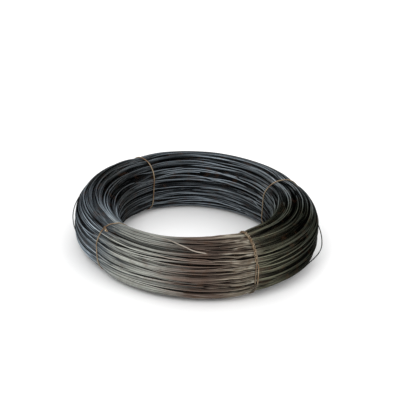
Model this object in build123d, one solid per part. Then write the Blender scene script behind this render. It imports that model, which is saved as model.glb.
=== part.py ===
from build123d import *
import math
import os

# Coil of annealed steel wire, lying flat on the floor and held by four tie wires.
# Millimetres, +Z up. The origin is on the floor, on the axis of the bore. The front is at -Y.
# Azimuths are in degrees about the bore, 0 at the front and growing towards +X.

# Wound coil
coil_diameter = 600.0
bore_diameter = 376.0
coil_height = 138.0
bore_wall = 50.0
top_flat = 10.0
rim_top_corner = 58.0
rim_base_corner = 50.0

# Turns, which lie in groups with a valley between one group and the next
wire_diameter = 2.5
wire_sides = 6
ridge_pitch = 20.0
ridge_depth = 3.2

# Loose turns: azimuth and height where each leaves the coil, stands furthest out and goes back in
loose_reach = 6.2
loose_bury = 3.0
loose_turns = [
    ((100.0, 98.0), (86.0, 54.0), (66.0, 22.0)),
    ((-106.0, 104.0), (-90.0, 86.0), (-72.0, 66.0)),
]

# Tie wires, bent round the section in short straight steps, each in a seat it has drawn into the coil
tie_diameter = 2.5
seat_gap = 0.15
flush_depth = 0.3
strand_spacing = 5.0
corner_steps = 6

# Twisted tails, where the two ends of a tie are wound round each other and folded along the coil
tail_length = 16.0
tail_gap = 0.3
twist_pitch = 11.0
twist_steps = 6
strand_overlap = 0.3

# Azimuth of each tie. One is bound with two strands. One has its tail on the top shoulder, and the
# others have theirs low on the rim, pointing the other way.
ties = {
    "tie_wire_front_left": -52.0,
    "tie_wire_front_right": 31.0,
    "tie_wire_back_right": 121.0,
    "tie_wire_back_left": 217.0,
}
doubled_ties = ["tie_wire_front_right"]
shoulder_ties = ["tie_wire_front_left"]

coil_radius = coil_diameter / 2
bore_radius = bore_diameter / 2
bore_corner_width = coil_radius - bore_radius - top_flat - rim_top_corner
bore_corner_height = (coil_height - bore_wall) / 2
wire_radius = wire_diameter / 2
tie_radius = tie_diameter / 2
seat_depth = tie_diameter + seat_gap + flush_depth
tie_inset = seat_depth - seat_gap - tie_radius


def radial_plane(azimuth):
    """Upright plane through the bore axis, with x running outwards and y running up."""
    turn = math.radians(azimuth)
    return Plane(
        origin=(0, 0, 0),
        x_dir=(math.sin(turn), -math.cos(turn), 0),
        z_dir=(-math.cos(turn), -math.sin(turn), 0),
    )


def section_edges(inset):
    """Outline of the wound section moved inwards, clockwise from the top of the bore wall."""
    left, right = bore_radius + inset, coil_radius - inset
    low, high = inset, coil_height - inset
    wide, tall = bore_corner_width - inset, bore_corner_height - inset
    r_top = rim_top_corner - inset
    r_base = rim_base_corner - inset

    def bore_arc(height, start):
        center = (left + wide, height)
        return EllipticalCenterArc(center, wide, tall, start, arc_size=-90)

    return [
        bore_arc(high - tall, 180),
        Line((left + wide, high), (right - r_top, high)),
        CenterArc((right - r_top, high - r_top), r_top, 90, -90),
        Line((right, high - r_top), (right, low + r_base)),
        CenterArc((right - r_base, low + r_base), r_base, 0, -90),
        Line((right - r_base, low), (left + wide, low)),
        bore_arc(low + tall, 270),
        Line((left, low + tall), (left, high - tall)),
    ]


def stepped_section(inset):
    """The same outline with each corner bent in short straight steps."""
    points = []
    for edge in section_edges(inset):
        steps = 1 if edge.geom_type == GeomType.LINE else corner_steps
        points += [edge @ (i / steps) for i in range(steps)]
    return Polyline(*points, close=True)


def side_radius(height):
    """Distance from the bore axis to the outer side of the coil at a height."""
    if height > coil_height - rim_top_corner:
        corner, rise = rim_top_corner, height - (coil_height - rim_top_corner)
    elif height < rim_base_corner:
        corner, rise = rim_base_corner, rim_base_corner - height
    else:
        return coil_radius
    return coil_radius - corner + math.sqrt(corner**2 - rise**2)


def ridged(edges):
    """Points of a zigzag over some edges of the section, one ridge for each group of turns."""
    run = Wire(edges)
    count = max(2, round(run.length / ridge_pitch))
    points = []
    for i in range(count):
        middle = (i + 0.5) / count
        along = run % middle
        inwards = Vector(along.Y, -along.X)
        points += [run @ (i / count), run @ middle + inwards * ridge_depth]
    return points + [run @ 1]


def wound_turns():
    """Turned body with ridges over its ends and side, a plain bore wall and a flat ring to stand on."""
    edges = section_edges(0)
    outline = Polyline(*ridged(edges[0:5]), *ridged(edges[6:7]), close=True)
    return revolve(Plane.XZ * make_face(outline), Axis.Z)


def wire_along(path, radius):
    """Wire of a radius drawn along a path, mitred where the path bends."""
    start = Plane(origin=path @ 0, z_dir=path % 0)
    section = start * RegularPolygon(radius, wire_sides)
    return sweep(section, path=path, transition=Transition.RIGHT)


def loose_turn(leaves, furthest, returns):
    """One turn that stands off the side of the coil and is buried in it at both ends."""

    def point(azimuth, height, beyond):
        turn = math.radians(azimuth)
        radius = side_radius(height) + beyond
        return (radius * math.sin(turn), -radius * math.cos(turn), height)

    path = ThreePointArc(
        point(*leaves, -loose_bury),
        point(*furthest, loose_reach),
        point(*returns, -loose_bury),
    )
    return wire_along(path, wire_radius)


def tie_seat(azimuth, spread):
    """Slot that a tie has drawn into the coil, all the way round the section."""
    width = spread + tie_diameter + 2 * seat_gap
    blank = Pos(coil_radius / 2, coil_height / 2) * Rectangle(
        coil_diameter, 2 * coil_height
    )
    ring = blank - make_face(stepped_section(seat_depth))
    return extrude(radial_plane(azimuth) * ring, amount=width / 2, both=True)


def twisted_tail():
    """Two wire ends wound round each other, running up +Z."""
    reach = tie_radius - strand_overlap
    count = math.ceil(tail_length / twist_pitch * twist_steps)

    def strand(start):
        turns = [math.radians(start + i * 360 / twist_steps) for i in range(count + 1)]
        rise = twist_pitch / twist_steps
        path = Polyline(
            *[
                (reach * math.cos(turn), reach * math.sin(turn), i * rise)
                for i, turn in enumerate(turns)
            ]
        )
        return wire_along(path, tie_radius)

    return strand(0) + strand(180)


def tie_wire(azimuth, spread, on_shoulder):
    """A tie: its loop or loops, the root where the ends leave the seat, and the twisted tail."""
    loop = stepped_section(tie_inset)
    top_arc, base_arc = (section_edges(tie_inset)[i] for i in (2, 4))
    if on_shoulder:
        foot, along, tail_dir = top_arc @ 0.3, top_arc % 0.3, (0, 0, -1)
    else:
        foot, along, tail_dir = base_arc @ 0.2, base_arc % 0.2, (0, 0, 1)
    if spread:
        side = Vector(0, 0, spread / 2)
        solid = wire_along(Pos(side) * loop, tie_radius)
        solid += wire_along(Pos(-side) * loop, tie_radius)
        solid += wire_along(Line(foot - side, foot + side), tie_radius)
    else:
        solid = wire_along(loop, tie_radius)
    outwards = Vector(-along.Y, along.X)
    head = foot + outwards * (tie_inset + tail_gap + tie_diameter - strand_overlap)
    solid += wire_along(Line(foot, head), tie_radius)
    solid += Plane(origin=head, x_dir=along, z_dir=tail_dir) * twisted_tail()
    return radial_plane(azimuth) * solid


if __name__ == "__main__":
    os.makedirs("parts", exist_ok=True)
    coil = wound_turns()
    for route in loose_turns:
        coil += loose_turn(*route)
    for name, azimuth in ties.items():
        spread = strand_spacing if name in doubled_ties else 0.0
        coil -= tie_seat(azimuth, spread)
        tie = tie_wire(azimuth, spread, name in shoulder_ties)
        export_step(tie, f"parts/{name}.step")
    export_step(coil, "parts/wire_coil.step")
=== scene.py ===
"""The looks of a coil of annealed steel wire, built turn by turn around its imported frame.

Lengths are in millimetres and become metres where a mesh is made. Those of the finishes and the studio
are in metres, apart from the depth of a turn and the camera's sensor. Azimuths are in degrees about the
bore, 0 at the front and growing towards +X, as in the part's own source. A place round the section is a
length along its outline, which starts at the top of the bore wall and goes over the top.
"""

import logging
import math
from dataclasses import dataclass, field
from enum import Enum

import bmesh
import bpy
import numpy as np
from mathutils import Matrix, Vector

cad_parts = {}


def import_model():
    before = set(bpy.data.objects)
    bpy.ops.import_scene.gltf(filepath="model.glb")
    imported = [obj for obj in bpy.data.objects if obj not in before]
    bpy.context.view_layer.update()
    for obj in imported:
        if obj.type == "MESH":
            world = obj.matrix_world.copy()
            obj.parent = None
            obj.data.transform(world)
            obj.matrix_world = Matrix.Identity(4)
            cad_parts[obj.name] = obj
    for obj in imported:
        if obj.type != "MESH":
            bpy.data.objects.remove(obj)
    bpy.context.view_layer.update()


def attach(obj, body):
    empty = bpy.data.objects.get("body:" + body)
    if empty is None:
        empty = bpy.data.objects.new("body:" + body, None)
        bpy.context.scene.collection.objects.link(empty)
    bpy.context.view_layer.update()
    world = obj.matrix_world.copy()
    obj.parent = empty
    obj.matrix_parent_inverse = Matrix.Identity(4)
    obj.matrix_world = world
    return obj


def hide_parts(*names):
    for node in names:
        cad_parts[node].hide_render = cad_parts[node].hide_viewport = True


LOG = logging.getLogger("wire_coil")
# A millimetre in metres
MILLIMETRE = 0.001
# Lengths too small to matter
SLIVER = 1e-9
HAIR = 1e-6
# A direction that no wire here runs along
SLANT = (0.31, 0.23, 0.92)
UP = (0.0, 0.0, 1.0)
# Power of a hump in the shape of a bell
BELL = 2

Numbers = float | np.ndarray


# Shares and noise


def apart(azimuth: Numbers, other: float) -> Numbers:
    """Azimuth measured from another, between -180 and 180."""
    return (azimuth - other + 180) % 360 - 180


def ramp(value: Numbers, start: float, end: float) -> Numbers:
    """Share that goes evenly from 0 at the start to 1 at the end."""
    return np.clip((value - start) / (end - start), 0, 1)


def plateau(value: Numbers, start: float, full: float, fading: float, end: float) -> Numbers:
    """Share that rises from 0 at the start, stays at 1 and is 0 again at the end."""
    return ramp(value, start, full) * ramp(value, end, fading)


def hump(off: Numbers, reach: float, power: float) -> Numbers:
    """Share that is 1 in the middle and falls off to either side, later for a higher power."""
    return np.exp(-(np.abs(off / reach) ** power))


def held(least: float, free: Numbers) -> Numbers:
    """Share that runs from its least, where nothing is free, to 1."""
    return least + (1 - least) * free


def wander(rng: np.random.Generator, length: int, spacing: float) -> np.ndarray:
    """Smooth noise along a wire.

    Args:
        rng: Source of the draws.
        length: How many rings the wire has.
        spacing: Rings from one draw to the next.

    Returns:
        One number a ring, of about unit spread.
    """
    spare_knots, spread = 5, 1.5
    knots = rng.normal(size=int(length / spacing) + spare_knots)
    t = np.arange(length) / spacing
    i = t.astype(int)
    f = t - i
    a, b, c, d = (knots[i + k] for k in range(4))
    return (
        a * (1 - f) ** 3 + b * (3 * f**3 - 6 * f**2 + 4) + d * f**3
        + c * (-3 * f**3 + 3 * f**2 + 3 * f + 1)
    ) / 6 * spread


def spline(points: tuple, count: int) -> np.ndarray:
    """Smooth line through a few points.

    Args:
        points: The points, one row each, with any number of columns.
        count: How many points the line is given.

    Returns:
        The points of the line.
    """
    points = np.asarray(points, dtype=float)
    points = np.concatenate(
        [[2 * points[0] - points[1]], points, [2 * points[-1] - points[-2]]]
    )
    t = np.linspace(0, len(points) - 3 - SLIVER, count)
    i = t.astype(int)
    f = (t - i)[:, None]
    a, b, c, d = (points[i + k] for k in range(4))
    return 0.5 * (
        2 * b + (c - a) * f + (2 * a - 5 * b + 4 * c - d) * f**2
        + (3 * b - 3 * c + d - a) * f**3
    )


# Objects and meshes


def object_of(data: bpy.types.ID, name: str) -> bpy.types.Object:
    """Make an object at the origin that holds a mesh, a lamp or a camera.

    Args:
        data: What it holds.
        name: Its name.

    Returns:
        The object, linked to the scene.
    """
    made = bpy.data.objects.new(name, data)
    bpy.context.scene.collection.objects.link(made)
    return made


def smooth_mesh(work: bmesh.types.BMesh, name: str) -> bpy.types.Mesh:
    """Turn a bmesh into a smooth mesh, and free it.

    Args:
        work: The bmesh.
        name: Name of the mesh.

    Returns:
        The mesh.
    """
    mesh = bpy.data.meshes.new(name)
    work.to_mesh(mesh)
    work.free()
    mesh.shade_smooth()
    return mesh


def label(mesh: bpy.types.Mesh, name: str, values: np.ndarray) -> None:
    """Store one number a vertex under a name that the finishes read."""
    layer = mesh.attributes.new(name, "FLOAT", "POINT")
    layer.data.foreach_set("value", values.astype(np.float32))


@dataclass
class Tube:
    """Round wires joined in one mesh, from arrays of ring centres and the two axes of each ring."""

    sides: int
    verts: list = field(default_factory=list)
    quads: list = field(default_factory=list)
    caps: list = field(default_factory=list)
    tones: list = field(default_factory=list)
    depths: list = field(default_factory=list)
    count: int = 0

    def add(
        self,
        centre: np.ndarray,
        across: np.ndarray,
        along: np.ndarray,
        radius: float,
        tone: Numbers,
        depth: Numbers,
    ) -> None:
        """Add one wire.

        Args:
            centre: Ring centres, one row a ring.
            across: First axis of each ring.
            along: Second axis of each ring, so that across x along runs down the wire.
            radius: Radius of the wire.
            tone: Brightness of the colour, one number or one a ring, which also carries painted glints
                and shade.
            depth: Depth under the outside of the coil, one number or one a ring.
        """
        rings = len(centre)
        angle = np.arange(self.sides) * (2 * math.pi / self.sides)
        ring = (
            across[:, None, :] * np.cos(angle)[None, :, None]
            + along[:, None, :] * np.sin(angle)[None, :, None]
        )
        self.verts.append((centre[:, None, :] + ring * radius).reshape(-1, 3))
        first = self.count + np.arange(rings - 1)[:, None] * self.sides
        here = np.arange(self.sides)[None, :]
        after = (here + 1) % self.sides
        corners = [
            first + here,
            first + after,
            first + after + self.sides,
            first + here + self.sides,
        ]
        self.quads.append(np.stack(corners, axis=-1).reshape(-1, 4))
        self.caps.append(self.count + np.arange(self.sides)[::-1])
        self.caps.append(self.count + (rings - 1) * self.sides + np.arange(self.sides))
        self.tones.append(np.repeat(np.broadcast_to(tone, rings), self.sides))
        self.depths.append(np.repeat(np.broadcast_to(depth, rings), self.sides))
        self.count += rings * self.sides

    def run(self, centre: np.ndarray, radius: float, tone: Numbers, depth: Numbers) -> None:
        """Add one wire along any line, with rings square to it.

        Args:
            centre: Ring centres, one row a ring.
            radius: Radius of the wire.
            tone: Brightness of the colour, one number or one a ring, which also carries painted glints
                and shade.
            depth: Depth under the outside of the coil, one number or one a ring.
        """
        ahead = np.gradient(centre, axis=0)
        ahead /= np.linalg.norm(ahead, axis=1)[:, None]
        side = np.cross(ahead[0], SLANT)
        across = []
        for way in ahead:
            side = side - way * (side @ way)
            side = side / np.linalg.norm(side)
            across.append(side)
        across = np.array(across)
        self.add(centre, across, np.cross(ahead, across), radius, tone, depth)

    def make(self, name: str) -> bpy.types.Object:
        """Join the wires that were added in one object.

        Args:
            name: Name of the object.

        Returns:
            The new object, at the origin.
        """
        verts = np.concatenate(self.verts) * MILLIMETRE
        quads = np.concatenate(self.quads)
        caps = np.concatenate(self.caps)
        corners = np.concatenate([quads.ravel(), caps])
        cap_starts = quads.size + np.arange(len(self.caps)) * self.sides
        starts = np.concatenate([np.arange(len(quads)) * 4, cap_starts])
        smooth = np.ones(len(starts), dtype=bool)
        smooth[len(quads) :] = False
        mesh = bpy.data.meshes.new(name)
        mesh.vertices.add(len(verts))
        mesh.vertices.foreach_set("co", verts.astype(np.float32).ravel())
        mesh.loops.add(len(corners))
        mesh.loops.foreach_set("vertex_index", corners.astype(np.int32))
        mesh.polygons.add(len(starts))
        mesh.polygons.foreach_set("loop_start", starts.astype(np.int32))
        mesh.polygons.foreach_set("use_smooth", smooth)
        mesh.update(calc_edges=True)
        label(mesh, "tone", np.concatenate(self.tones))
        label(mesh, "depth", np.concatenate(self.depths))
        return object_of(mesh, name)


# Shape of the wound bundle


@dataclass
class Bundle:
    """The bundle that the wire is wound into: its section, and how uneven and how tightly tied it is.

    A stretch of grouped turns is where it starts and ends round the section, and its count of groups.
    """

    wire: float = 2.5
    bore_radius: float = 188.0
    coil_radius: float = 300.0
    height: float = 138.0
    bore_wall: float = 50.0
    top_flat: float = 10.0
    rim_top: float = 58.0
    rim_base: float = 50.0
    arc_points: int = 400
    samples: int = 2048
    samples_ahead: int = 3
    tie_azimuths: tuple = (-52.0, 31.0, 121.0, 217.0)
    pinch_depth: float = 2.9
    pinch_reach: float = 6.5
    pinch_power: float = 1.6
    bulge: float = 0.9
    slack_reach: float = 16.0
    grouped: tuple = ((0.0, 278.7, 14), (296.7, 365.8, 3))
    valley_depth: float = 2.9
    valley_power: float = 1.4
    heave: float = 10.5
    heave_once: float = 0.55
    heave_twice: float = 0.45
    heave_heights: tuple = (45.0, 130.0)
    heave_radii: tuple = (292.0, 212.0)
    level_azimuth: float = -10.0
    rise_inwards: float = 0.8
    sag_inwards: float = 2.2
    sag_down: float = 0.65
    tucks: tuple = ((45.0, 6.5), (-62.0, 4.5))
    tuck_reach: float = 15.0
    tuck_heights: tuple = (55.0, 0.0)
    tuck_radii: tuple = (225.0, 270.0)
    tuck_inwards: float = 0.5

    def __post_init__(self) -> None:
        """Work out the outline as a table of places and outward directions."""
        wide = self.coil_radius - self.bore_radius - self.top_flat - self.rim_top
        tall = (self.height - self.bore_wall) / 2
        left, right = self.bore_radius, self.coil_radius
        top, base = self.rim_top, self.rim_base
        corners = [
            self.arc((left + wide, self.height - tall), (wide, tall), 180),
            self.arc((right - top, self.height - top), (top, top), 90),
            self.arc((right - base, base), (base, base), 0),
            self.arc((left + wide, tall), (wide, tall), 270),
            [[left, self.height - tall]],
        ]
        path = np.concatenate(corners)
        step = np.hypot(*np.diff(path, axis=0).T)
        path = path[np.concatenate([[True], step > SLIVER])]
        run = np.concatenate([[0], np.cumsum(np.hypot(*np.diff(path, axis=0).T))])
        self.perimeter = float(run[-1])
        self.places = np.arange(self.samples + 1) / self.samples * self.perimeter
        columns = [np.interp(self.places, run, column) for column in path.T]
        self.line = np.stack(columns, axis=1)
        near = self.samples_ahead
        ahead = np.roll(self.line[:-1], -near, axis=0) - np.roll(self.line[:-1], near, axis=0)
        ahead = np.concatenate([ahead, ahead[:1]])
        ahead /= np.hypot(*ahead.T)[:, None]
        self.out = np.stack([-ahead[:, 1], ahead[:, 0]], axis=1)

    def arc(self, centre: tuple, radii: tuple, start: float) -> np.ndarray:
        """Quarter of an ellipse, drawn clockwise.

        Args:
            centre: Its centre.
            radii: Its half width and half height.
            start: Angle in degrees at which it starts.

        Returns:
            Its points, one row each.
        """
        turn = np.radians(np.linspace(start, start - 90, self.arc_points))
        (x, y), (wide, tall) = centre, radii
        return np.stack([x + wide * np.cos(turn), y + tall * np.sin(turn)], axis=1)

    def section(self, s: Numbers, depth: Numbers) -> tuple:
        """Find points of the section.

        Args:
            s: Places round the section.
            depth: Depths under the outline.

        Returns:
            Their distances from the bore axis and their heights.
        """
        s = np.mod(s, self.perimeter)
        rho, z, out_rho, out_z = (
            np.interp(s, self.places, column) for column in (*self.line.T, *self.out.T)
        )
        return rho - out_rho * depth, z - out_z * depth

    def valley(self, s: np.ndarray) -> np.ndarray:
        """Work out how much deeper the turns lie between one group of turns and the next.

        Args:
            s: Places round the section.

        Returns:
            The added depths, 0 on the crest of each group.
        """
        s = np.mod(s, self.perimeter)
        deeper = np.zeros_like(s)
        for first, last, groups in self.grouped:
            phase = (s - first) / (last - first) * groups
            fold = 1 - np.abs(2 * np.mod(phase, 1) - 1)
            deeper += np.where((s > first) & (s < last), fold**self.valley_power, 0.0)
        return self.valley_depth * deeper

    def squeeze(self, azimuth: np.ndarray) -> np.ndarray:
        """Work out how much deeper the ties press the turns.

        Args:
            azimuth: Azimuths of the turns.

        Returns:
            The added depths, which are negative where the turns bulge between ties.
        """
        deeper = -self.bulge * np.ones_like(azimuth)
        for tie in self.tie_azimuths:
            pinch = hump(apart(azimuth, tie), self.pinch_reach, self.pinch_power)
            deeper += (self.pinch_depth + self.bulge) * pinch
        return deeper

    def slack(self, azimuth: np.ndarray) -> np.ndarray:
        """Work out how free the turns are to wander.

        Args:
            azimuth: Azimuths of the turns.

        Returns:
            Shares, 0 under a tie and 1 between two.
        """
        free = np.ones_like(azimuth)
        for tie in self.tie_azimuths:
            free *= 1 - hump(apart(azimuth, tie), self.slack_reach, BELL)
        return free

    def lean(self, azimuth: Numbers, rho: Numbers, z: Numbers) -> tuple:
        """Move points for the uneven winding.

        The rim of the bore is high at the front right and low at the left, and the base is tucked in.

        Args:
            azimuth: Azimuths of the points.
            rho: Distances from the bore axis.
            z: Heights.

        Returns:
            The moved distances and heights.
        """
        turn = np.radians(azimuth - self.level_azimuth)
        rise = self.heave * (self.heave_once * np.sin(turn) + self.heave_twice * np.sin(2 * turn))
        rise = rise * ramp(z, *self.heave_heights) * ramp(rho, *self.heave_radii)
        lift = 0.0
        for middle, most in self.tucks:
            lift = lift + most * hump(apart(azimuth, middle), self.tuck_reach, BELL)
        lift = lift * ramp(z, *self.tuck_heights) * ramp(rho, *self.tuck_radii)
        inwards = np.where(rise > 0, self.rise_inwards * rise, self.sag_inwards * rise)
        upwards = np.where(rise > 0, rise, self.sag_down * rise)
        return rho - (inwards + self.tuck_inwards * lift), z + upwards + lift

    def place(self, azimuth: Numbers, rho: Numbers, z: Numbers) -> np.ndarray:
        """Place points in the part's own frame.

        Args:
            azimuth: Azimuths of the points.
            rho: Distances from the bore axis, before the uneven winding.
            z: Heights, before the uneven winding.

        Returns:
            The points, one row each.
        """
        rho, z = self.lean(azimuth, rho, z)
        turn = np.radians(azimuth)
        return np.stack([rho * np.sin(turn), -rho * np.cos(turn), z], axis=-1)


@dataclass
class Waves:
    """Smooth wandering over the bundle that closes on itself, as a sum of waves."""

    rng: np.random.Generator
    across: int
    around: int
    count: int = 60

    def __post_init__(self) -> None:
        """Draw the waves."""
        self.crossings = self.rng.integers(-self.across, self.across + 1, self.count)
        self.rounds = self.rng.integers(-self.around, self.around + 1, self.count)
        self.shifts = self.rng.uniform(0, 2 * math.pi, self.count)

    def at(self, share: np.ndarray, azimuth: np.ndarray) -> np.ndarray:
        """Work out the height of the waves.

        Args:
            share: Places round the section, as shares of its outline.
            azimuth: Azimuth of each place.

        Returns:
            The heights, about 1 at most.
        """
        total = np.zeros(np.broadcast(share, azimuth).shape)
        for crossings, rounds, shift in zip(self.crossings, self.rounds, self.shifts):
            phase = 2 * math.pi * crossings * share + rounds * np.radians(azimuth) + shift
            total += np.cos(phase)
        return total / math.sqrt(self.count / 2) / 2


# Turns


@dataclass
class WoundWire:
    """What every piece of the wound wire shares."""

    bundle: Bundle

    def dress(self, piece: bpy.types.Object, finish: bpy.types.Material) -> None:
        """Give a piece its finish and its place in the part.

        Args:
            piece: The piece.
            finish: Material of the wound wire.
        """
        piece.data.materials.append(finish)
        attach(piece, "root")
        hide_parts("wire_coil")


class Layer(Enum):
    """The layers whose turns are made one by one, from the outside inwards."""

    OUTER = 0
    SECOND = 1
    THIRD = 2


@dataclass
class WoundTurns(WoundWire):
    """The outer layers of turns, each layer one wire that winds on round the bundle.

    Waves are given by the most that run across the section and round the coil, how many are summed
    and their height. Noise along the wire is given by its spacing in turns and its height. Azimuths
    of a stretch are where it starts, is full, fades and ends.
    """

    pitches: tuple = (2.86, 2.86, 3.0)
    layer_sides: tuple = (6, 5, 4)
    layer_step: float = 2.2
    most_triangles: int = 190000
    first_azimuth: float = 180.0
    last_azimuth: float = 539.5
    coarse_step: float = 2.4
    fine_step: float = 1.1
    fine_reach: float = 8.0
    seed: int = 11
    side_waves: tuple = ((7, 3, 60, 4.5), (34, 4, 60, 3.0), (60, 5, 90, 1.5))
    deep_waves: tuple = (26, 4, 60, 0.8)
    own_wander: tuple = (0.11, 1.3)
    stray_wander: tuple = (0.16, 2.2)
    deep_wander: tuple = (0.13, 0.35)
    most_stray: float = 2.2
    tied_side: float = 0.35
    tied_level: float = 0.3
    tied_valley: float = 0.45
    rounds: int = 46
    last_rounds: int = 4
    ease: float = 0.3
    last_ease: float = 0.18
    settle: float = 0.02
    most_proud: float = 0.7
    neighbours: int = 8
    push: float = 0.42
    push_share: float = 0.7
    kinks: tuple = (4.0, 12.0, 26.0, 30.0)
    kink_rings: float = 3.2
    kink_turns: float = 1.5
    kink_side: float = 0.75
    straight_below: float = -0.1
    tone_wanders: tuple = ((0.4, 0.65), (0.07, 0.6), (0.025, 0.4))
    lighter: float = 0.8
    darker: float = 1.35
    # Painted highlight: bright glint patches on the turns beside the front right tie.
    glint_stretch: tuple = (13.0, 22.0, 29.0, 31.0)
    glint_waves: tuple = (26, 44, 110)
    glint_limits: tuple = (0.25, 0.7)
    glint_tone: float = 3.8

    def stations(self) -> np.ndarray:
        """Set out the rings of one turn, closer together near the ties and along the kinks.

        Returns:
            Their azimuths.
        """
        marks, azimuth = [], self.first_azimuth
        while azimuth < self.last_azimuth:
            marks.append(azimuth)
            near = min(abs(apart(azimuth, tie)) for tie in self.bundle.tie_azimuths)
            kinked = self.kinks[0] < apart(azimuth, 0.0) < self.kinks[-1]
            fine = near < self.fine_reach or kinked
            azimuth += self.fine_step if fine else self.coarse_step
        return np.array(marks)

    def lay(self, rings: int) -> tuple:
        """Lay the turns evenly, each layer wound the other way than the one above it.

        Args:
            rings: How many rings a turn has.

        Returns:
            The place round the section and the depth of every turn at each ring, and the layer of
            every turn.
        """
        size = self.bundle.perimeter
        starts, depths, layers = [], [], []
        for layer, pitch in zip(Layer, self.pitches):
            turns = round(size / pitch)
            on = (np.arange(turns * rings) / rings).reshape(turns, rings)
            way = 1 if layer.value % 2 == 0 else -1
            starts.append(way * on * size / turns)
            depth = self.bundle.wire / 2 + layer.value * self.layer_step
            depths.append(np.full((turns, rings), depth))
            layers.append(np.full(turns, layer.value))
        return np.concatenate(starts), np.concatenate(depths), np.concatenate(layers)

    def loosen(self, rng: np.random.Generator, start: np.ndarray, azimuth: np.ndarray) -> tuple:
        """Let the turns wander, least of all under the ties.

        Args:
            rng: Source of the draws.
            start: Places round the section where the turns were laid.
            azimuth: Azimuth of each place.

        Returns:
            How far aside the turns go, how much deeper they lie together, and how much deeper each
            lies by itself.
        """
        share = start / self.bundle.perimeter
        free = self.bundle.slack(azimuth)
        shift = np.zeros(start.shape)
        for *waves, high in self.side_waves:
            shift += high * Waves(rng, *waves).at(share, azimuth)
        *waves, high = self.deep_waves
        level = high * Waves(rng, *waves).at(share, azimuth) * held(self.tied_level, free)
        own, stray, lift = (
            wander(rng, start.size, start.shape[1] * spacing).reshape(start.shape)
            for spacing, _ in (self.own_wander, self.stray_wander, self.deep_wander)
        )
        stray = np.clip(stray, -self.most_stray, self.most_stray) ** 3
        aside = self.own_wander[1] * own + self.stray_wander[1] * stray
        shift = shift + held(self.tied_side, free) * aside
        level += self.bundle.valley(start) * held(self.tied_valley, free)
        return shift, level, self.deep_wander[1] * lift

    def kink(self, rng: np.random.Generator, marks: np.ndarray, turns: int) -> np.ndarray:
        """Bend most of the turns to and fro beside the front right tie.

        Args:
            rng: Source of the draws.
            marks: Azimuths of a turn's rings.
            turns: How many turns there are.

        Returns:
            How far aside each turn goes at each ring.
        """
        bent = wander(rng, turns * len(marks), self.kink_rings).reshape(turns, len(marks))
        bends = wander(rng, turns, self.kink_turns) > self.straight_below
        kinked = plateau(apart(marks, 0.0), *self.kinks)
        return kinked * self.kink_side * bent * bends[:, None]

    def routes(self) -> tuple:
        """Work out where every turn lies.

        Returns:
            The azimuths of a turn's rings, then the place round the section and the depth of every
            turn at each of them, and the layer of every turn.
        """
        rng = np.random.default_rng(self.seed)
        marks = self.stations()
        start, depth, layer = self.lay(len(marks))
        azimuth = np.broadcast_to(marks[None, :], start.shape)
        shift, level, lift = self.loosen(rng, start, azimuth)
        low = self.bundle.wire / 2 + level
        deep = depth + level + lift
        for i in range(self.rounds):
            shift, deep = self.part(start, shift, deep)
            deep = np.maximum(deep, low - self.most_proud)
            ease = self.ease if i < self.rounds - self.last_rounds else self.last_ease
            shift = self.smooth(shift, ease)
            deep = self.smooth(deep, ease)
            deep += self.settle * (depth + level - deep)
        shift = shift + self.kink(rng, marks, len(start))
        return marks, start + shift, deep, layer

    def part(self, start: np.ndarray, shift: np.ndarray, deep: np.ndarray) -> tuple:
        """Push turns that overlap apart, at every azimuth on its own.

        Args:
            start: Places round the section where the turns were laid.
            shift: How far aside they have moved.
            deep: Their depths.

        Returns:
            The new shifts and depths.
        """
        size = self.bundle.perimeter
        s = np.mod(start + shift, size)
        order = np.argsort(s, axis=0)
        s = np.take_along_axis(s, order, 0)
        d = np.take_along_axis(deep, order, 0)
        push_s, push_d = np.zeros_like(s), np.zeros_like(d)
        for step in range(1, self.neighbours + 1):
            ds = np.roll(s, -step, axis=0) - s
            ds[-step:] += size
            dd = np.roll(d, -step, axis=0) - d
            gap = np.sqrt(ds * ds + dd * dd) + HAIR
            over = np.clip(self.bundle.wire - gap, 0, None) / gap * self.push
            move_s, move_d = ds * over, dd * over
            push_s += np.roll(move_s, step, axis=0) - move_s
            push_d += np.roll(move_d, step, axis=0) - move_d
        back_s, back_d = np.empty_like(s), np.empty_like(d)
        np.put_along_axis(back_s, order, push_s, 0)
        np.put_along_axis(back_d, order, push_d, 0)
        return shift + self.push_share * back_s, deep + self.push_share * back_d

    @staticmethod
    def smooth(values: np.ndarray, ease: float) -> np.ndarray:
        """Ease every wire along its length, through the end of one turn into the next.

        Args:
            values: One row a turn, one column a ring.
            ease: How far each value moves to the mean of its neighbours.

        Returns:
            The eased values.
        """
        flat = values.ravel()
        mean = flat.copy()
        mean[1:-1] = (flat[:-2] + flat[2:]) / 2
        return (flat + ease * (mean - flat)).reshape(values.shape)

    def tones(self, s: np.ndarray, azimuth: np.ndarray) -> np.ndarray:
        """Give the turns lighter and darker stretches, with painted glints beside the front right tie.

        Args:
            s: Places round the section.
            azimuth: Azimuth of each place.

        Returns:
            The brightness of each ring, 0 for the plain colour.
        """
        rng = np.random.default_rng(self.seed + 1)
        tone = np.zeros(s.shape)
        for spacing, high in self.tone_wanders:
            tone += wander(rng, s.size, s.shape[1] * spacing).reshape(s.shape) * high
        tone = np.where(tone > 0, self.lighter, self.darker) * tone
        patch = Waves(rng, *self.glint_waves).at(s / self.bundle.perimeter, azimuth)
        least, most = self.glint_limits
        # Painted highlight: patches of bright glints are added to the tone here.
        glint_stretch = plateau(apart(azimuth, 0.0), *self.glint_stretch)
        return tone + glint_stretch * np.clip(patch - least, 0, most) * self.glint_tone

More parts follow.
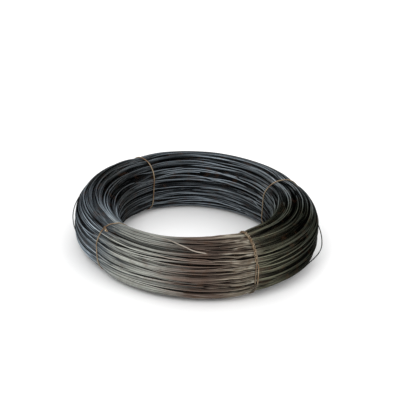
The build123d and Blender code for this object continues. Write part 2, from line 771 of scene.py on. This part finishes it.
    def build(self) -> list:
        """Make the turns.

        Returns:
            The pieces, from the outermost layer inwards.
        """
        marks, s, deep, layers = self.routes()
        azimuth = np.broadcast_to(marks[None, :], s.shape)
        radius = self.bundle.wire / 2
        rho, z = self.bundle.section(s, deep + self.bundle.squeeze(azimuth))
        z = np.maximum(z, radius)
        grids = (azimuth, rho, z, self.tones(s, azimuth), deep)
        pieces = []
        for layer, sides in zip(Layer, self.layer_sides):
            mine = np.flatnonzero(layers == layer.value)
            most = self.most_triangles // (len(marks) * sides * 2)
            groups = np.array_split(mine, math.ceil(len(mine) / most))
            for i, turns in enumerate(groups, 1):
                at, reach, height, tone, depth = (grid[turns].ravel() for grid in grids)
                turn = np.radians(at)
                out = np.stack([np.sin(turn), -np.cos(turn), np.zeros_like(turn)], 1)
                centre = self.bundle.place(at, reach, height)
                tube = Tube(sides)
                tube.add(centre, np.broadcast_to(UP, out.shape), out, radius, tone, depth)
                pieces.append(tube.make(f"{layer.name.lower()}_turns_{i}"))
        return pieces


@dataclass
class StrayTurns(WoundWire):
    """Turns that have sprung clear of the coil, and a strand that crosses the others on the front.

    The side routes are azimuth, height and distance clear of the coil. The front one is azimuth, place
    round the section and depth.
    """

    sides: int = 8
    side_rings: int = 140
    side_depth: float = 0.5
    right_tone: float = -1.2
    right: tuple = (
        (118, 112, -9), (106, 100, -6), (95, 83, -2.6), (91.5, 73, 2.4), (89, 65, 7.2),
        (85.5, 55, 11.6), (82.5, 47, 13.6), (80, 41, 13.6), (77, 35, 11), (72.5, 29.5, 5.4),
        (69.5, 26, 2.2), (62, 21, -0.4), (52, 20, -2.4), (40, 24, -7),
    )
    left_tone: float = 0.3
    left: tuple = (
        (-130, 112, -8), (-114, 105, -4), (-102, 94, 0), (-95, 84, 4), (-90, 74, 6.4),
        (-86, 65, 6), (-81, 56, 3), (-76, 50, -0.6), (-66, 46, -3.5), (-52, 46, -8),
    )
    front_rings: int = 160
    front_tone: float = 2.7
    front: tuple = (
        (-40, 58, 7), (-29, 66, 2.5), (-20, 76, -0.7), (-15.5, 81, -1.6), (-9.5, 93, -2.0),
        (-5, 101, -2.0), (-2.2, 107, -1.9), (0.5, 111, -1.6), (4, 113.5, -0.6), (9, 114.5, 5),
    )

    def wire(self, name: str, centre: np.ndarray, tone: float, depth: float) -> bpy.types.Object:
        """Make one wire.

        Args:
            name: Name of the piece.
            centre: Centres of its rings.
            tone: Brightness of its finish.
            depth: Depth that its finish is given.

        Returns:
            The piece.
        """
        tube = Tube(self.sides)
        tube.run(centre, self.bundle.wire / 2, tone, depth)
        return tube.make(name)

    def beside(self, route: tuple) -> np.ndarray:
        """Lead a wire along the side of the coil.

        Args:
            route: Azimuth, height and distance clear of the coil at a few points.

        Returns:
            Centres of its rings.
        """
        heights = self.bundle.line[:, 1]
        side = slice(int(np.argmax(heights)), int(np.argmin(heights)))
        reach, rise = self.bundle.line[side][::-1].T
        azimuth, height, clear = spline(route, self.side_rings).T
        return self.bundle.place(azimuth, np.interp(height, rise, reach) + clear, height)

    def build(self) -> list:
        """Make the wires.

        Returns:
            One piece for each.
        """
        azimuth, s, depth = spline(self.front, self.front_rings).T
        crossing = self.bundle.place(azimuth, *self.bundle.section(s, depth))
        return [
            self.wire("right_stray_turn", self.beside(self.right), self.right_tone, self.side_depth),
            self.wire("left_stray_turn", self.beside(self.left), self.left_tone, self.side_depth),
            self.wire("front_crossing_strand", crossing, self.front_tone, 0.0),
        ]


@dataclass
class HiddenTurns(WoundWire):
    """The turns under those that are modelled one by one, as one turned body, painted dark by its depth
    as shade.
    """

    depth: float = 8.4
    steps: int = 144
    points: int = 72

    def build(self) -> list:
        """Spin the section of the hidden turns round the bore.

        Returns:
            The one turned body.
        """
        s = np.arange(self.points) / self.points * self.bundle.perimeter
        rho, z = self.bundle.section(s, self.depth)
        work = bmesh.new()
        ring = [work.verts.new((r * MILLIMETRE, 0, h * MILLIMETRE)) for r, h in zip(rho, z)]
        edges = [work.edges.new((ring[i - 1], ring[i])) for i in range(len(ring))]
        bmesh.ops.spin(
            work, geom=ring + edges, cent=(0, 0, 0), axis=UP,
            angle=2 * math.pi, steps=self.steps, use_merge=True,
        )
        bmesh.ops.remove_doubles(work, verts=work.verts, dist=HAIR)
        bmesh.ops.recalc_face_normals(work, faces=work.faces)
        for vert in work.verts:
            x, y, z = vert.co / MILLIMETRE
            azimuth = math.degrees(math.atan2(x, -y))
            vert.co = self.bundle.place(azimuth, math.hypot(x, y), z) * MILLIMETRE
        mesh = smooth_mesh(work, "hidden_turns")
        # Its depth gives it the painted shade of the deep gaps, near black.
        label(mesh, "depth", np.full(len(mesh.vertices), self.depth))
        return [object_of(mesh, "hidden_turns")]


# Ties


class Binding(Enum):
    """How a tie is bound: with one strand, or with two that are woven."""

    SINGLE = 1
    DOUBLED = 2


@dataclass(frozen=True)
class Weave:
    """How the two strands of a doubled tie wind round each other and part on the outer side."""

    pitch: float = 14.0
    half: float = 2.9
    lift: float = 1.3
    tone: float = 0.3
    power: int = 4
    open_place: float = 182.0
    open_reach: float = 40.0
    open_extra: float = 0.6
    # Painted shade: the strands are darkened over the stretch where they pass under the coil.
    dark_place: float = 226.0
    dark_reach: float = 21.0
    dark_tone: float = 1.8


@dataclass
class TieWire:
    """A thin wire bound round the bundle, with its two ends twisted together.

    The tail is two points, each the distance aside and down from the knot, with their depths. The
    drift is how far aside the tie lies at a few places round the section.
    """

    bundle: Bundle
    node: str
    azimuth: float
    binding: Binding = Binding.SINGLE
    weave: Weave = Weave()
    knot: float = 206.0
    tail: tuple = ((3.4, 8.0), (6.0, 14.0))
    tail_depths: tuple = (-2.3, -2.2)
    tail_tone: float = -0.3
    drift: tuple = ((0.0, 0.0), (400.0, 0.0))
    wire: float = 2.5
    depth: float = 1.55
    tone: float = 0.25
    sides: int = 8
    rings: int = 300
    sway: float = 0.35
    sway_rings: float = 26.0
    sway_power: float = 0.5
    seed: int = 3
    root_lift: float = 0.4
    root_bend: tuple = (0.3, 0.1)
    root_depth: float = -1.8
    tail_rings: int = 60
    tail_turns: float = 2.1
    tail_radius: float = 1.2
    tail_wire: float = 0.96
    tip_splay: float = 1.6
    splay_power: int = 5
    tip_glint_tone: float = 1.6
    tone_power: int = 6

    def way(self) -> np.ndarray:
        """Direction along the coil at the tie."""
        turn = math.radians(self.azimuth)
        return np.array([math.cos(turn), math.sin(turn), 0.0])

    def at(self, s: np.ndarray, aside: np.ndarray, depth: np.ndarray) -> np.ndarray:
        """Place points of the tie.

        Args:
            s: Places round the section.
            aside: Distances aside along the coil.
            depth: Depths under the outline.

        Returns:
            The points, one row each.
        """
        rho, z = self.bundle.section(s, depth)
        base = self.bundle.place(self.azimuth * np.ones_like(rho), rho, z)
        return base + aside[..., None] * self.way()

    def build(self) -> list:
        """Make the tie.

        Returns:
            Its one piece.
        """
        tube = Tube(self.sides)
        s = self.knot + np.linspace(0, self.bundle.perimeter, self.rings)
        place = np.mod(s, self.bundle.perimeter)
        rng = np.random.default_rng(self.seed)
        sway = wander(rng, self.rings, self.sway_rings) * self.sway
        sway *= np.sin(np.linspace(0, math.pi, self.rings)) ** self.sway_power
        sway += np.interp(place, *np.transpose(self.drift))
        if self.binding is Binding.DOUBLED:
            self.strands(tube, s, place, sway)
        else:
            centre = self.at(s, sway, np.full_like(s, self.depth))
            tube.run(centre, self.wire / 2, self.tone, 0)
        self.twist(tube)
        return [tube.make(f"{self.node}_bound")]

    def strands(self, tube: Tube, s: np.ndarray, place: np.ndarray, sway: np.ndarray) -> None:
        """Add the two strands of a doubled tie.

        Args:
            tube: The wires that they join.
            s: Places round the section, growing from the knot on.
            place: The same places, within one round of the section.
            sway: How far aside the tie lies at each.
        """
        weave = self.weave
        opened = hump(place - weave.open_place, weave.open_reach, weave.power)
        turns = np.cumsum(np.gradient(s) * (1 - opened)) / weave.pitch
        turns -= turns[np.argmin(np.abs(place - weave.open_place))]
        half = weave.half + weave.open_extra * opened
        # Painted shade on the strands where they run under the coil.
        dark = weave.dark_tone * hump(place - weave.dark_place, weave.dark_reach, weave.power)
        for sign in (1, -1):
            aside = sign * half * np.cos(2 * math.pi * turns) + sway
            lift = sign * weave.lift * np.sin(2 * math.pi * turns)
            centre = self.at(s, aside, self.depth - lift)
            tube.run(centre, self.wire / 2, weave.tone * sign - dark, 0)

    def twist(self, tube: Tube) -> None:
        """Add the twisted ends, folded along the coil, and the cut tips that splay apart, with a
        painted glint on the tips.

        Args:
            tube: The wires that they join.
        """
        (side_1, down_1), (side_2, down_2) = self.tail
        bend_side, bend_down = self.root_bend
        points = (
            (0, 0, self.depth - self.root_lift),
            (bend_side * side_1, bend_down * down_1, self.root_depth),
            (side_1, down_1, self.tail_depths[0]),
            (side_2, down_2, self.tail_depths[1]),
        )
        aside, down, depth = spline(points, self.tail_rings).T
        aside = aside + np.interp(self.knot, *np.transpose(self.drift))
        centre = self.at(self.knot + down, aside, depth)
        ahead = np.gradient(centre, axis=0)
        ahead /= np.linalg.norm(ahead, axis=1)[:, None]
        side = np.cross(ahead, self.way())
        side /= np.linalg.norm(side, axis=1)[:, None]
        other = np.cross(ahead, side)
        on = np.linspace(0, 1, self.tail_rings)
        phase = np.linspace(0, 2 * math.pi * self.tail_turns, self.tail_rings)[:, None]
        swell = self.tail_radius + self.tip_splay * on[:, None] ** self.splay_power
        # Painted highlight: the tone rises to a glint at the cut tips.
        tone = self.tail_tone + self.tip_glint_tone * on**self.tone_power
        for start in (0, math.pi):
            ring = np.cos(phase + start) * side + np.sin(phase + start) * other
            tube.run(centre + ring * swell, self.wire / 2 * self.tail_wire, tone, 0)

    def dress(self, piece: bpy.types.Object, finish: bpy.types.Material) -> None:
        """Give the tie its finish and its place in the part.

        Args:
            piece: The piece.
            finish: Material of the tie wires.
        """
        piece.data.materials.append(finish)
        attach(piece, "root")
        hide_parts(self.node)


def tie_wires(bundle: Bundle) -> tuple:
    """Set out the four ties.

    Args:
        bundle: The bundle that they hold.

    Returns:
        The ties.
    """
    front_left, front_right, back_right, back_left = bundle.tie_azimuths
    return (
        TieWire(
            bundle,
            "tie_wire_front_left",
            front_left,
            knot=113.0,
            tail=((9.0, 3.0), (16.0, 7.0)),
            drift=((0, 4), (77, 7), (94, 3), (113, 0), (166, -2), (219, 8), (300, 8)),
        ),
        TieWire(
            bundle,
            "tie_wire_front_right",
            front_right,
            Binding.DOUBLED,
            tail=((-9.0, 2.0), (-16.0, 5.0)),
            tail_tone=-2.4,
            drift=((0, 5), (65, 5), (110, 0), (137, -4), (205, -4), (240, -4), (416, 5)),
            seed=5,
        ),
        TieWire(bundle, "tie_wire_back_right", back_right, seed=7),
        TieWire(bundle, "tie_wire_back_left", back_left, seed=9),
    )


# Finishes


class Maths(Enum):
    """The operations that shader outputs are joined by."""

    ADD = "ADD"
    SUBTRACT = "SUBTRACT"
    MULTIPLY = "MULTIPLY"
    POWER = "POWER"
    LEAST = "MINIMUM"
    MOST = "MAXIMUM"
    ANGLE = "ARCTAN2"


class Blend(Enum):
    """The ways in which two colours are mixed."""

    COVER = "MIX"
    SHADE = "MULTIPLY"


class Socket:
    """A shader output that numbers and other outputs can be added to, multiplied by and so on."""

    def __init__(self, maker: "NodeMaker", output: bpy.types.NodeSocket) -> None:
        """Wrap one output of a node."""
        self.maker = maker
        self.output = output

    def _maths(self, operation: Maths, *values: "Socket | float") -> "Socket":
        """Result of a Math node."""
        settings = {"operation": operation.value}
        return self.maker.node("ShaderNodeMath", settings, dict(enumerate(values)))

    def __add__(self, other: "Socket | float") -> "Socket":
        """Sum."""
        return self._maths(Maths.ADD, self, other)

    __radd__ = __add__

    def __mul__(self, other: "Socket | float") -> "Socket":
        """Product."""
        return self._maths(Maths.MULTIPLY, self, other)

    __rmul__ = __mul__

    def __sub__(self, other: "Socket | float") -> "Socket":
        """Difference."""
        return self._maths(Maths.SUBTRACT, self, other)

    def __rsub__(self, other: float) -> "Socket":
        """Difference from a number."""
        return self._maths(Maths.SUBTRACT, other, self)

    def __rpow__(self, base: float) -> "Socket":
        """A number raised to the power of the value."""
        return self._maths(Maths.POWER, base, self)

    def angle(self, other: "Socket") -> "Socket":
        """Angle in radians whose sine side is the value and whose cosine side is the other."""
        return self._maths(Maths.ANGLE, self, other)

    def clamp(self, low: float, high: float) -> "Socket":
        """The value, held between two limits."""
        return self._maths(Maths.LEAST, self._maths(Maths.MOST, self, low), high)

    def spread(self, low: float, high: float, to_low: float = 0.0, to_high: float = 1.0) -> "Socket":
        """Spread the value between two limits smoothly over two others.

        Args:
            low: Lower limit.
            high: Upper limit.
            to_low: What is given at and under the lower limit.
            to_high: What is given at and over the upper limit.

        Returns:
            The spread value.
        """
        settings = {"interpolation_type": "SMOOTHSTEP"}
        inputs = {"Value": self, 1: low, 2: high, 3: to_low, 4: to_high}
        return self.maker.node("ShaderNodeMapRange", settings, inputs)

    def spreads(self, first: tuple, *others: tuple) -> "Socket":
        """Sum of several spreads of the value, each given by the arguments of spread."""
        return sum((self.spread(*other) for other in others), self.spread(*first))

    def beside(self, name: str) -> "Socket":
        """Another output of the same node."""
        return Socket(self.maker, self.output.node.outputs[name])


class NodeMaker:
    """Makes the nodes of one material."""

    def __init__(self, name: str) -> None:
        """Start a material with an empty node tree.

        Args:
            name: Name of the material.
        """
        self.material = bpy.data.materials.new(name)
        self.material.use_nodes = True
        self.tree = self.material.node_tree
        self.tree.nodes.clear()

    def place(self, kind: str, settings: dict, inputs: dict) -> bpy.types.Node:
        """Make a node and set or link its sockets.

        Args:
            kind: Type of the node.
            settings: Its own settings, with a colour ramp's stops as a list of place and colour.
            inputs: Values or outputs for its sockets, by name or number.

        Returns:
            The node.
        """
        made = self.tree.nodes.new(kind)
        for key, value in settings.items():
            if key == "stops":
                self.fill(made.color_ramp, value)
            else:
                setattr(made, key, value)
        for key, value in inputs.items():
            if isinstance(value, Socket):
                self.tree.links.new(value.output, made.inputs[key])
            else:
                made.inputs[key].default_value = value
        return made

    @staticmethod
    def fill(colours: bpy.types.ColorRamp, stops: list) -> None:
        """Set the stops of a colour ramp.

        Args:
            colours: The ramp.
            stops: Place and colour of each stop, in order.
        """
        while len(colours.elements) > 1:
            colours.elements.remove(colours.elements[-1])
        colours.elements[0].position, colours.elements[0].color = stops[0]
        for place, colour in stops[1:]:
            colours.elements.new(place).color = colour

    def node(self, kind: str, settings: dict, inputs: dict, output: int | str = 0) -> Socket:
        """Make a node and give back one of its outputs, named or numbered."""
        return Socket(self, self.place(kind, settings, inputs).outputs[output])

    def attribute(self, name: str) -> Socket:
        """Number that the mesh holds under a name."""
        return self.node("ShaderNodeAttribute", {"attribute_name": name}, {}, "Fac")

    def noise(self, where: Socket, scale: float, detail: float) -> Socket:
        """Noise between 0 and 1."""
        inputs = {"Vector": where, "Scale": scale, "Detail": detail}
        return self.node("ShaderNodeTexNoise", {}, inputs)

    def mix(
        self, blend: Blend, share: Socket | float, first: Socket | tuple, second: Socket | tuple
    ) -> Socket:
        """Mix two colours.

        Args:
            blend: How they are mixed.
            share: How much of the second colour.
            first: First colour.
            second: Second colour.

        Returns:
            The mixed colour.
        """
        settings = {"data_type": "RGBA", "blend_type": blend.value}
        # The colours of this node share their names with its numbers, so they are told by place
        return self.node("ShaderNodeMix", settings, {0: share, 6: first, 7: second}, 2)

    def lit(self, colour: Socket, level: Socket) -> Socket:
        """Colour made lighter or darker by a level, 1 for the colour as it is."""
        grey = self.node("ShaderNodeCombineColor", {}, {0: level, 1: level, 2: level})
        return self.mix(Blend.SHADE, 1.0, colour, grey)

    def bump(self, height: Socket, strength: float, distance: float) -> Socket:
        """Normal of a surface with fine relief."""
        inputs = {"Strength": strength, "Distance": distance, "Height": height}
        return self.node("ShaderNodeBump", {}, inputs)

    def finish(self, inputs: dict) -> bpy.types.Material:
        """Close the material with its surface.

        Args:
            inputs: Values or outputs for the surface's sockets.

        Returns:
            The material.
        """
        surface = self.node("ShaderNodeBsdfPrincipled", {}, inputs)
        self.place("ShaderNodeOutputMaterial", {}, {"Surface": surface})
        return self.material


def linear(value: float) -> float:
    """Linear light of a display value from 0 to 255, by the sRGB curve."""
    value /= 255
    return value / 12.92 if value <= 0.04045 else ((value + 0.055) / 1.055) ** 2.4


def paint(red: float, green: float, blue: float) -> tuple:
    """Linear colour of a shade given in display values from 0 to 255."""
    return (linear(red), linear(green), linear(blue), 1.0)


@dataclass(frozen=True)
class AnnealedFinish:
    """The dull oxide of annealing: grey, blue-grey or brown, changing slowly round the coil, with
    painted light, shade and glints.

    Spreads are the arguments of Socket.spread. Those round the coil are in radians about the bore,
    those by height or across the coil in metres, and the one by depth in millimetres. Noises are their
    scale and detail.
    """

    back: tuple = paint(78, 84, 89)
    back_left: tuple = paint(50, 52, 52)
    left: tuple = paint(62, 66, 70)
    slate: tuple = paint(101, 109, 115)
    ash: tuple = paint(166, 168, 161)
    umber: tuple = paint(98, 85, 77)
    drab: tuple = paint(121, 113, 100)
    olive: tuple = paint(67, 67, 56)
    # Painted shade: the dark olive of the right side is darker than the oxide's own colour, standing
    # for the shade there.
    shaded_right: tuple = paint(48, 50, 44)
    back_right: tuple = paint(86, 91, 94)
    rust: tuple = paint(86, 60, 42)
    glint: tuple = paint(172, 167, 156)
    patch_noise: tuple = (9.0, 2.0)
    patch_reach: float = 0.06
    tone_reach: float = 0.01
    contrast_round: tuple = (
        (-1.3, -0.8, 2.3, 0.38), (0.4, 0.6, 0.0, 1.1), (-0.4, 0.0, 0.0, 0.15), (0.8, 1.2, 0.0, 0.67),
    )
    contrast_height: tuple = (0.0, 0.07, 1.4, 1.0)
    light_limits: tuple = (0.12, 3.2)
    # Painted shade in the gaps: the deeper a wire lies under the outside of the coil, the darker its
    # colour.
    gap_shade_depth: tuple = (1.4, 4.6, 1.0, 0.08)
    # Painted shade on the top of the bore's rim, the low right side and the base at the left.
    rim_height: tuple = (0.118, 0.134)
    rim_across: tuple = (-0.06, 0.02, 0.36, 0.12)
    right_height: tuple = (0.02, 0.115, 0.75, 0.0)
    right_start: tuple = (0.5, 0.9)
    right_end: tuple = (1.7, 2.5, 1.0, 0.0)
    left_height: tuple = (0.0, 0.06, 0.16, 0.0)
    left_end: tuple = (-0.3, -0.1, 1.0, 0.0)
    glint_light: tuple = (1.3, 2.4, 0.0, 0.6)
    glint_start: tuple = (-0.5, -0.2)
    glint_end: tuple = (0.50, 0.56, 1.0, 0.0)
    speck_noise: tuple = (55.0, 6.0)
    speck_spread: tuple = (0.52, 0.72)
    speck_share: float = 0.3
    metal_round: tuple = ((0.5, 1.0, 0.6, 0.98), (-1.4, -1.0, 0.38, 0.0))
    rough_noise: tuple = (160.0, 3.0)
    rough_spread: tuple = (0.3, 0.7, 0.34, 0.56)
    grain_noise: tuple = (700.0, 4.0)
    grain_strength: float = 0.12
    grain_height: float = 0.0003
    specular_level: float = 0.08
    specular_tint: tuple = (0.35, 0.35, 0.35, 1.0)

    def stops(self) -> list:
        """Set out the colours round the coil.

        Returns:
            Place and colour of each, the place as a share of a full turn from the back.
        """
        # Partly painted light: as well as the oxide's own colours, the ramp is lighter at the front
        # left and darker on the right, as light and shade.
        colours = (
            (-180, self.back),
            (-105, self.back_left),
            (-85, self.left),
            (-54, self.slate),
            (-34, self.ash),
            (-24, self.ash),
            (-3, self.umber),
            (12, self.umber),
            (27, self.drab),
            (36, self.olive),
            (48, self.olive),
            (66, self.shaded_right),
            (82, self.shaded_right),
            (120, self.back_right),
            (180, self.back),
        )
        return [(azimuth / 360 + 0.5, colour) for azimuth, colour in colours]

    def shade(self, x: Socket, z: Socket, turned: Socket) -> Socket:
        """Darken the top of the bore's rim, the low right side and the base at the left.

        Args:
            x: Distance across the coil.
            z: Height.
            turned: Angle round the coil.

        Returns:
            Share of the light that is lost.
        """
        rim = z.spread(*self.rim_height) * x.spread(*self.rim_across)
        right = z.spread(*self.right_height) * turned.spread(*self.right_start)
        left = z.spread(*self.left_height) * turned.spread(*self.left_end)
        return rim + right * turned.spread(*self.right_end) + left

    def material(self) -> bpy.types.Material:
        """Make the material of the wound wire.

        Returns:
            The material.
        """
        make = NodeMaker("annealed_wire")
        where = make.node("ShaderNodeTexCoord", {}, {}, "Object")
        x = make.node("ShaderNodeSeparateXYZ", {}, {"Vector": where}, "X")
        y, z = x.beside("Y"), x.beside("Z")
        tone, depth = make.attribute("tone"), make.attribute("depth")
        turned = x.angle(y * -1)
        patches = make.noise(where, *self.patch_noise)
        share = turned * (0.5 / math.pi) + 0.5
        share = share + (patches - 0.5) * self.patch_reach + tone * self.tone_reach
        tint = make.node("ShaderNodeValToRGB", {"stops": self.stops()}, {"Fac": share})
        contrast = turned.spreads(*self.contrast_round) * z.spread(*self.contrast_height)
        light = (2.0 ** (tone * contrast)).clamp(*self.light_limits)
        # Painted shade: wires deeper under the outside of the coil get a darker colour, standing for
        # the shade in the gaps between turns.
        under = depth.spread(*self.gap_shade_depth)
        # The shade method paints shade into the colour on the rim, the low right side and the left
        # base.
        colour = make.lit(tint, light * under * (1 - self.shade(x, z, turned)))
        glint = light.spread(*self.glint_light) * turned.spread(*self.glint_end)
        glint = glint * turned.spread(*self.glint_start)
        colour = make.mix(Blend.COVER, glint, colour, self.glint)
        specks = make.noise(where, *self.speck_noise).spread(*self.speck_spread)
        colour = make.mix(Blend.COVER, specks * self.speck_share, colour, self.rust)
        grain = make.noise(where, *self.grain_noise)
        return make.finish(
            {
                "Base Color": colour,
                "Metallic": turned.spreads(*self.metal_round),
                "Roughness": make.noise(where, *self.rough_noise).spread(*self.rough_spread),
                "Specular IOR Level": self.specular_level,
                "Specular Tint": self.specular_tint,
                "Normal": make.bump(grain, self.grain_strength, self.grain_height),
            }
        )


@dataclass(frozen=True)
class TieFinish:
    """Thin tie wire, rusted brown with the bare grey showing through."""

    bare: tuple = paint(132, 116, 94)
    rust: tuple = paint(102, 78, 54)
    rust_noise: tuple = (45.0, 5.0)
    rust_spread: tuple = (0.4, 0.62)
    metal: float = 0.35
    rough_bare: float = 0.45
    rough_added: float = 0.25
    grain_noise: tuple = (900.0, 3.0)
    grain_strength: float = 0.2
    grain_height: float = 0.0003

    def material(self) -> bpy.types.Material:
        """Make the material of the tie wires.

        Returns:
            The material.
        """
        make = NodeMaker("tie_wire")
        where = make.node("ShaderNodeTexCoord", {}, {}, "Object")
        share = make.noise(where, *self.rust_noise).spread(*self.rust_spread)
        colour = make.mix(Blend.COVER, share, self.bare, self.rust)
        grain = make.noise(where, *self.grain_noise)
        return make.finish(
            {
                "Base Color": make.lit(colour, 2.0 ** make.attribute("tone")),
                "Metallic": self.metal,
                "Roughness": share * self.rough_added + self.rough_bare,
                "Normal": make.bump(grain, self.grain_strength, self.grain_height),
            }
        )


# Studio


@dataclass
class Studio:
    """Pale floor, soft lamps and the camera at the photograph's angle.

    A lamp is its name, its place, the length of its side and its power in watts.
    """

    elevation: float = 27.74
    roll: float = 3.74
    distance: float = 5.0
    target: tuple = (0.0, 0.0, 0.060)
    focal_pixels: float = 2018.1
    target_pixel: tuple = (196.62, 224.48)
    frame_pixels: float = 400.0
    sensor: float = 36.0
    sight: float = 100.0
    floor_reach: float = 30.0
    floor_colour: tuple = (0.93, 0.93, 0.93, 1)
    floor_roughness: float = 0.9
    room_colour: tuple = (1, 1, 1, 1)
    room_strength: float = 1.0
    lamps: tuple = (
        ("key", (-1.2, -2.4, 2.8), 1.8, 55),
        ("fill", (2.4, -1.6, 2.0), 2.2, 20),
        ("rim", (0.4, 2.6, 2.2), 1.8, 20),
    )

    def floor(self) -> None:
        """Lay the floor."""
        work = bmesh.new()
        bmesh.ops.create_grid(work, x_segments=1, y_segments=1, size=self.floor_reach)
        plane = object_of(smooth_mesh(work, "floor"), "floor")
        inputs = {"Base Color": self.floor_colour, "Roughness": self.floor_roughness}
        plane.data.materials.append(NodeMaker("floor").finish(inputs))

    def lamp(self, name: str, place: tuple, size: float, power: float) -> None:
        """Hang a square lamp that faces the coil.

        Args:
            name: Name of the lamp.
            place: Where it hangs.
            size: Length of its side.
            power: Its power in watts.
        """
        data = bpy.data.lights.new(name, "AREA")
        data.size, data.energy = size, power
        lamp = object_of(data, name)
        lamp.location = place
        lamp.rotation_mode = "QUATERNION"
        aim = Vector(self.target) - Vector(place)
        lamp.rotation_quaternion = aim.to_track_quat("-Z", "Y")

    def world(self) -> None:
        """Light the room evenly."""
        world = bpy.data.worlds.new("room")
        world.use_nodes = True
        shade = world.node_tree.nodes["Background"]
        shade.inputs["Color"].default_value = self.room_colour
        shade.inputs["Strength"].default_value = self.room_strength
        bpy.context.scene.world = world

    def camera(self) -> None:
        """Set the camera so that the target falls on its own pixel of the frame."""
        data = bpy.data.cameras.new("camera")
        data.sensor_width = self.sensor
        data.lens = self.focal_pixels / self.frame_pixels * self.sensor
        data.clip_end = self.sight
        camera = object_of(data, "camera")
        rise = math.radians(self.elevation)
        back = Vector((0, -math.cos(rise), math.sin(rise)))
        camera.location = Vector(self.target) + back * self.distance
        half = self.frame_pixels / 2
        right = (self.target_pixel[0] - half) / self.focal_pixels
        up = (half - self.target_pixel[1]) / self.focal_pixels
        turn = (-back).to_track_quat("-Z", "Y")
        turn = turn @ Matrix.Rotation(math.radians(self.roll), 3, "Z").to_quaternion()
        turn = turn @ Vector((right, up, -1)).rotation_difference(Vector((0, 0, -1)))
        camera.rotation_mode = "QUATERNION"
        camera.rotation_quaternion = turn
        bpy.context.scene.camera = camera

    def build(self) -> None:
        """Set up floor, lamps, room and camera."""
        self.floor()
        for lamp in self.lamps:
            self.lamp(*lamp)
        self.world()
        self.camera()
        bpy.context.scene.view_settings.view_transform = "Standard"


def main() -> None:
    """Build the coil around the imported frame."""
    logging.basicConfig(level=logging.INFO)
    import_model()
    bundle = Bundle()
    wound, tied = AnnealedFinish().material(), TieFinish().material()
    assemblies = [(kind(bundle), wound) for kind in (WoundTurns, StrayTurns, HiddenTurns)]
    assemblies += [(tie, tied) for tie in tie_wires(bundle)]
    for assembly, finish in assemblies:
        for piece in assembly.build():
            assembly.dress(piece, finish)
            triangles = sum(len(face.vertices) - 2 for face in piece.data.polygons)
            LOG.info("%s: %d triangles", piece.name, triangles)
    Studio().build()


if __name__ == "__main__":
    main()
